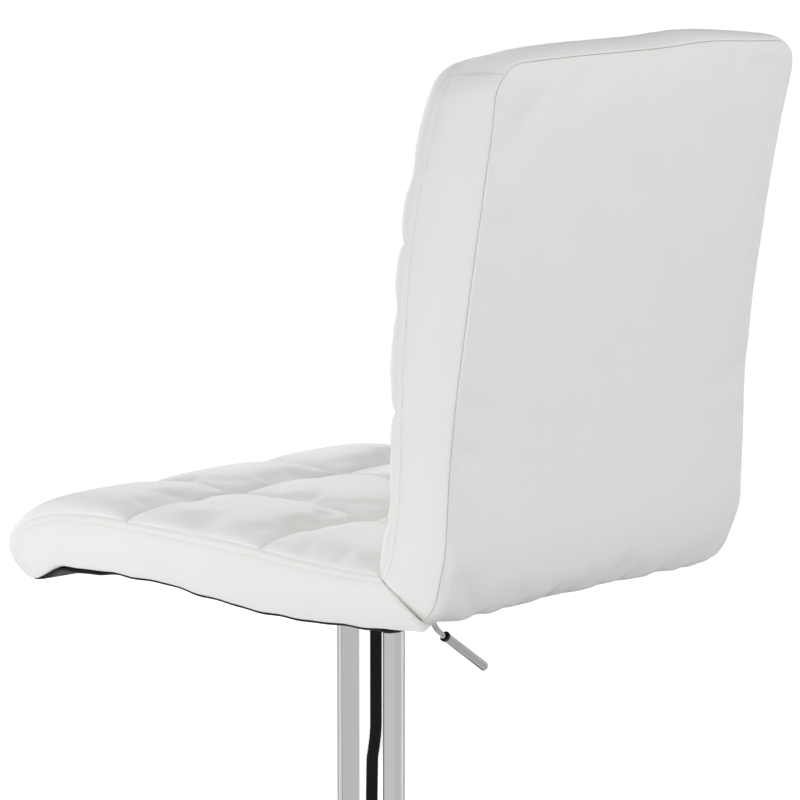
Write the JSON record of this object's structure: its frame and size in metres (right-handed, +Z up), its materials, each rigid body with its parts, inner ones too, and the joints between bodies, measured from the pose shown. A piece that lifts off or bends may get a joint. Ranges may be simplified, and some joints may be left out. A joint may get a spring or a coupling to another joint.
{
  "type": "adjustable swivel stool",
  "caption": "Bar stool with a quilted one-piece seat and back, gas lift with release lever, swivel column, footrest hoop and round weighted foot.",
  "frame": {"origin": "on the floor at the swivel axis, at the centre of the floor pad's underside", "axes": "+Z up along the swivel axis; the sitter faces -Y; the release lever is on the sitter's right, at -X"},
  "size_m": [0.41, 0.541, 0.997],
  "materials": {
    "white_leather": "white artificial leather, low gloss",
    "polished_chrome": "mirror chrome plate",
    "zinc_steel": "zinc plated steel",
    "black_steel": "black powder coat",
    "cast_weight": "raw casting, primed",
    "black_rubber": "matt rubber sheet",
    "black_nylon": "moulded nylon",
    "bent_plywood": "bare moulded plywood",
    "black_cloth": "non-woven lining cloth"
  },
  "bodies": {
    "base": {"floor_pad": "black_rubber", "base_dish": "polished_chrome", "weight_plate": "cast_weight", "base_washer": "zinc_steel", "base_bolt": "zinc_steel", "column_trim_ring": "polished_chrome", "column_tube": "polished_chrome", "column_end_plate": "zinc_steel", "rod_support": "zinc_steel", "lower_race": "zinc_steel", "ball_cage": "zinc_steel", "guide_bush": "black_nylon", "footrest_collar": "polished_chrome", "footrest_screw_1": "zinc_steel", "footrest_screw_2": "zinc_steel", "footrest_hoop": "polished_chrome"},
    "gas_rod": {"piston_rod": "zinc_steel", "rod_clip": "zinc_steel", "upper_race": "zinc_steel", "piston": "black_nylon"},
    "seat": {"pressure_tube": "zinc_steel", "rod_guide": "black_nylon", "taper_socket": "black_steel", "cover_sleeve": "polished_chrome", "sleeve_ring": "black_nylon", "seat_plate": "black_steel", "plate_bolt_1": "zinc_steel", "plate_bolt_2": "zinc_steel", "plate_bolt_3": "zinc_steel", "plate_bolt_4": "zinc_steel", "tee_nut_1": "zinc_steel", "tee_nut_2": "zinc_steel", "tee_nut_3": "zinc_steel", "tee_nut_4": "zinc_steel", "lever_bracket": "black_steel", "pivot_pin": "zinc_steel", "seat_shell": "bent_plywood", "seat_cushion": "white_leather", "back_cushion": "white_leather", "back_panel": "white_leather", "dust_cover": "black_cloth"},
    "lever": {"lever_rod": "polished_chrome", "lever_grip": "polished_chrome", "lever_ring": "black_nylon"},
    "valve": {"release_pin": "zinc_steel"}
  },
  "joints": [
    {"name": "swivel", "type": "hinge", "parent": "base", "child": "gas_rod", "pos_m": [0, 0, 0.068], "axis": [0, 0, 1], "continuous": true},
    {"name": "lift", "type": "slide", "parent": "gas_rod", "child": "seat", "axis": [0, 0, 1], "range_m": [0, 0.21]},
    {"name": "lever_lift", "type": "hinge", "parent": "seat", "child": "lever", "pos_m": [-0.04, 0, 0.5507], "axis": [0, 1, 0], "range_deg": [0, 7], "stiffness_Nm_per_rad": 2, "springref_deg": -8.59},
    {"name": "valve_press", "type": "slide", "parent": "seat", "child": "valve", "axis": [0, 0, -1], "range_m": [0, 0.005]}
  ],
  "couplings": [
    {"joint": "valve_press", "follows": "lever_lift", "m_per_rad": 0.04}
  ]
}
